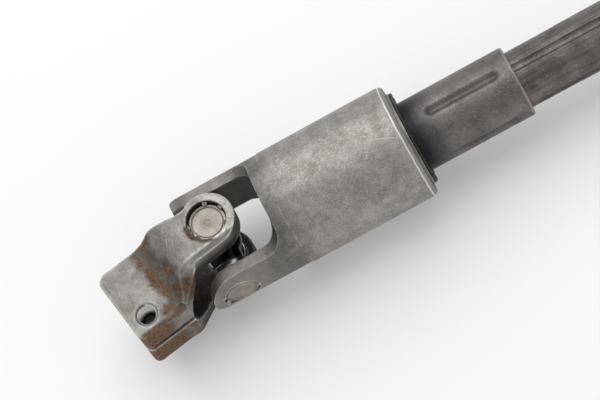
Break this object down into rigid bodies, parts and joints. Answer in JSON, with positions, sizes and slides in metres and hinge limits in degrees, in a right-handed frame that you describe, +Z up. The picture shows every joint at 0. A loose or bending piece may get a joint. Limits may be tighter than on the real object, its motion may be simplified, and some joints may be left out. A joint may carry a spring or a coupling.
{
  "type": "steering column shaft",
  "caption": "Steering column lower end: split clamp yoke, universal joint with needle bearing cups, rubber-bushed tubular yoke and telescopic fluted shaft.",
  "frame": {"origin": "centre of the upper end face of the inner shaft", "axes": "+X along the column towards its upper end, +Z up, square to the level trunnions of the tubular yoke"},
  "size_m": [0.2878, 0.0502, 0.0512],
  "materials": {
    "forged_steel": "forged, dull, with light rust",
    "cup_steel": "turned, satin",
    "bearing_steel": "ground",
    "pad_plastic": "matte",
    "seal_rubber": "matte",
    "cross_steel": "forged, oiled",
    "turned_steel": "turned, worn satin",
    "sleeve_steel": "drawn, satin",
    "bush_rubber": "matte",
    "tube_steel": "drawn, phosphated",
    "shaft_steel": "drawn, phosphated and greased"
  },
  "bodies": {
    "tube_yoke": {"tube_yoke": "turned_steel", "tube_cup_front": "cup_steel", "tube_cup_rear": "cup_steel", "tube_pad_front": "pad_plastic", "tube_pad_rear": "pad_plastic", "tube_seal_front": "seal_rubber", "tube_seal_rear": "seal_rubber", "bush_outer_sleeve": "sleeve_steel", "bush_rubber": "bush_rubber"},
    "tube_needles": {"tube_needles_front": "bearing_steel", "tube_needles_rear": "bearing_steel"},
    "cross": {"cross": "cross_steel"},
    "clamp_needles": {"clamp_needles_upper": "bearing_steel", "clamp_needles_lower": "bearing_steel"},
    "clamp_yoke": {"clamp_yoke": "forged_steel", "clamp_cup_upper": "cup_steel", "clamp_cup_lower": "cup_steel", "clamp_pad_upper": "pad_plastic", "clamp_pad_lower": "pad_plastic", "clamp_seal_upper": "seal_rubber", "clamp_seal_lower": "seal_rubber"},
    "column_tube": {"column_tube": "tube_steel", "bush_inner_sleeve": "sleeve_steel", "stop_ring": "sleeve_steel"},
    "inner_shaft": {"inner_shaft": "shaft_steel"}
  },
  "joints": [
    {"name": "shaft_slide", "type": "slide", "parent": "inner_shaft", "child": "column_tube", "axis": [1, 0, 0], "range_m": [-0.02, 0.045]},
    {"name": "bush_twist", "type": "hinge", "parent": "column_tube", "child": "tube_yoke", "pos_m": [-0.16, 0, 0], "axis": [1, 0, 0], "range_deg": [-5, 5], "stiffness_Nm_per_rad": 60},
    {"name": "cross_pivot", "type": "hinge", "parent": "tube_yoke", "child": "cross", "pos_m": [-0.24, 0, 0], "axis": [0, 1, 0], "range_deg": [-31, 19]},
    {"name": "clamp_pivot", "type": "hinge", "parent": "cross", "child": "clamp_yoke", "pos_m": [-0.24, 0, 0], "axis": [0.1045, 0, 0.9945], "range_deg": [-37.3, 12.7]},
    {"name": "tube_needle_roll", "type": "hinge", "parent": "tube_yoke", "child": "tube_needles", "pos_m": [-0.24, 0, 0], "axis": [0, 1, 0], "range_deg": [-13, 8]},
    {"name": "clamp_needle_roll", "type": "hinge", "parent": "cross", "child": "clamp_needles", "pos_m": [-0.24, 0, 0], "axis": [0.1045, 0, 0.9945], "range_deg": [-22.5, 8]}
  ],
  "couplings": [
    {"joint": "tube_needle_roll", "follows": "cross_pivot", "ratio": 0.41121},
    {"joint": "clamp_needle_roll", "follows": "clamp_pivot", "ratio": 0.58879}
  ]
}
